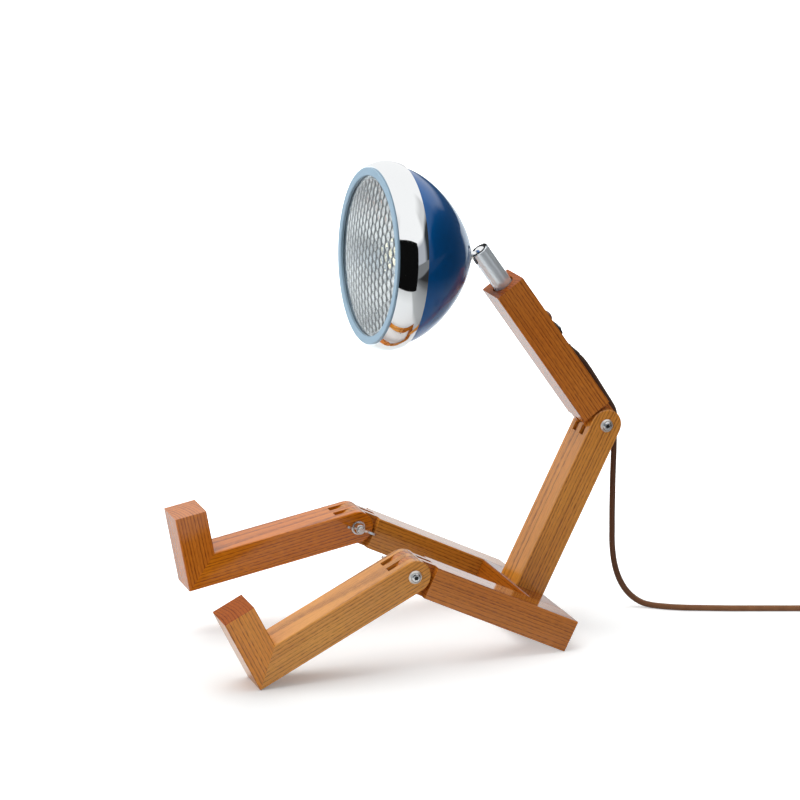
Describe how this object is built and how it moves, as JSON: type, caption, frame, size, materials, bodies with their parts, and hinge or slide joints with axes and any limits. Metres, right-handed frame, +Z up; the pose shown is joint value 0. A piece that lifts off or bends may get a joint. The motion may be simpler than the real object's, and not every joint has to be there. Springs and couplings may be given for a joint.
{
  "type": "figure desk lamp",
  "caption": "Desk lamp shaped like a sitting figure, with jointed wooden bars for legs and torso, a round headlamp on a ball joint, a push switch and a mains lead.",
  "frame": {"origin": "centre of the sitting figure's footprint, on the surface it stands on, without its mains lead", "axes": "+Z up, -Y the way the figure faces and the lamp shines, +X the figure's left"},
  "size_m": [0.1627, 0.5661, 0.3472],
  "materials": {
    "ash_wood": "clear gloss lacquer over honey brown ash",
    "dowel_wood": "plain beech",
    "steel": "bright zinc plate",
    "cast_nut": "tumbled nickel plate",
    "chrome": "polished",
    "nylon": "satin",
    "brown_cap": "gloss",
    "black_plastic": "gloss",
    "brown_rubber": "matt",
    "brass": "turned",
    "wire_white": "smooth",
    "blue_enamel": "high gloss enamel",
    "pale_paint": "satin",
    "lens_glass": "pressed, pebbled inside",
    "gasket_rubber": "matt",
    "reflector": "bright aluminised",
    "ceramic": "glazed",
    "led": "yellow phosphor",
    "bulb_glass": "clear",
    "lead_fabric": "braided, dark brown",
    "plug_plastic": "satin",
    "nickel": "polished nickel plate"
  },
  "bodies": {
    "seat": {"left_thigh": "ash_wood", "right_thigh": "ash_wood", "seat_block": "ash_wood", "hip_dowels": "dowel_wood", "lower_torso": "ash_wood", "torso_dowels": "dowel_wood", "torso_screw": "steel", "waist_bolt": "steel", "waist_cup_washer": "steel", "waist_washer": "steel", "lead_lower": "lead_fabric", "lead_coil": "lead_fabric", "lead_tail": "lead_fabric", "plug_body": "plug_plastic", "plug_pins": "nickel"},
    "left_lower_leg": {"left_shin": "ash_wood", "left_foot": "ash_wood", "left_foot_dowels": "dowel_wood", "left_knee_bolt": "steel", "left_knee_cup_washer": "steel", "left_knee_washer": "steel"},
    "right_lower_leg": {"right_shin": "ash_wood", "right_foot": "ash_wood", "right_foot_dowels": "dowel_wood", "right_knee_bolt": "steel", "right_knee_cup_washer": "steel", "right_knee_washer": "steel"},
    "torso": {"upper_torso": "ash_wood", "neck_sleeve": "nylon", "neck_screw": "steel", "screw_cap": "brown_cap", "switch_body": "black_plastic", "switch_bezel": "black_plastic", "lead_gland": "brown_rubber", "lead_upper": "lead_fabric"},
    "button": {"switch_button": "chrome"},
    "neck": {"neck_tube": "chrome", "neck_clip": "steel", "ball_seat": "brass", "neck_spring": "steel", "spring_stop": "nylon", "neck_lead": "wire_white"},
    "head": {"head_ball": "chrome", "head_shell": "blue_enamel", "stem_washer": "steel", "stem_nut": "steel", "chrome_rim": "chrome", "lens_ring": "pale_paint", "lens": "lens_glass", "lens_gasket": "gasket_rubber", "reflector": "reflector", "lampholder": "ceramic", "led_column": "led", "bulb_cover": "bulb_glass", "lamp_lead": "wire_white", "rim_screw": "steel"},
    "waist_nut": {"waist_wing_nut": "cast_nut"},
    "left_knee_nut": {"left_knee_wing_nut": "cast_nut"},
    "right_knee_nut": {"right_knee_wing_nut": "cast_nut"}
  },
  "joints": [
    {"name": "left_knee", "type": "hinge", "parent": "seat", "child": "left_lower_leg", "pos_m": [0.06, -0.02164, 0.06902], "axis": [-1, 0, 0], "range_deg": [-37, 142]},
    {"name": "right_knee", "type": "hinge", "parent": "seat", "child": "right_lower_leg", "pos_m": [-0.06, -0.02164, 0.06902], "axis": [-1, 0, 0], "range_deg": [-53, 126]},
    {"name": "waist", "type": "hinge", "parent": "seat", "child": "torso", "pos_m": [0, 0.14783, 0.14561], "axis": [-1, 0, 0], "range_deg": [-28, 80], "deforming": ["lead_upper"]},
    {"name": "neck_turn", "type": "hinge", "parent": "torso", "child": "neck", "pos_m": [0, 0.05612, 0.2761], "axis": [0, -0.575, 0.8181], "range_deg": [-165, 165]},
    {"name": "head_tilt", "type": "hinge", "parent": "neck", "child": "head", "pos_m": [0, 0.05612, 0.2761], "axis": [-1, 0, 0], "range_deg": [-34, 46]},
    {"name": "switch_press", "type": "slide", "parent": "torso", "child": "button", "axis": [0, -0.8181, -0.575], "range_m": [0, 0.0015], "stiffness_N_per_m": 300, "springref_m": -0.002},
    {"name": "waist_nut_turn", "type": "hinge", "parent": "seat", "child": "waist_nut", "pos_m": [0, 0.14783, 0.14561], "axis": [-1, 0, 0], "continuous": true},
    {"name": "left_knee_nut_turn", "type": "hinge", "parent": "left_lower_leg", "child": "left_knee_nut", "pos_m": [0.06, -0.02164, 0.06902], "axis": [-1, 0, 0], "continuous": true},
    {"name": "right_knee_nut_turn", "type": "hinge", "parent": "right_lower_leg", "child": "right_knee_nut", "pos_m": [-0.06, -0.02164, 0.06902], "axis": [-1, 0, 0], "continuous": true}
  ]
}
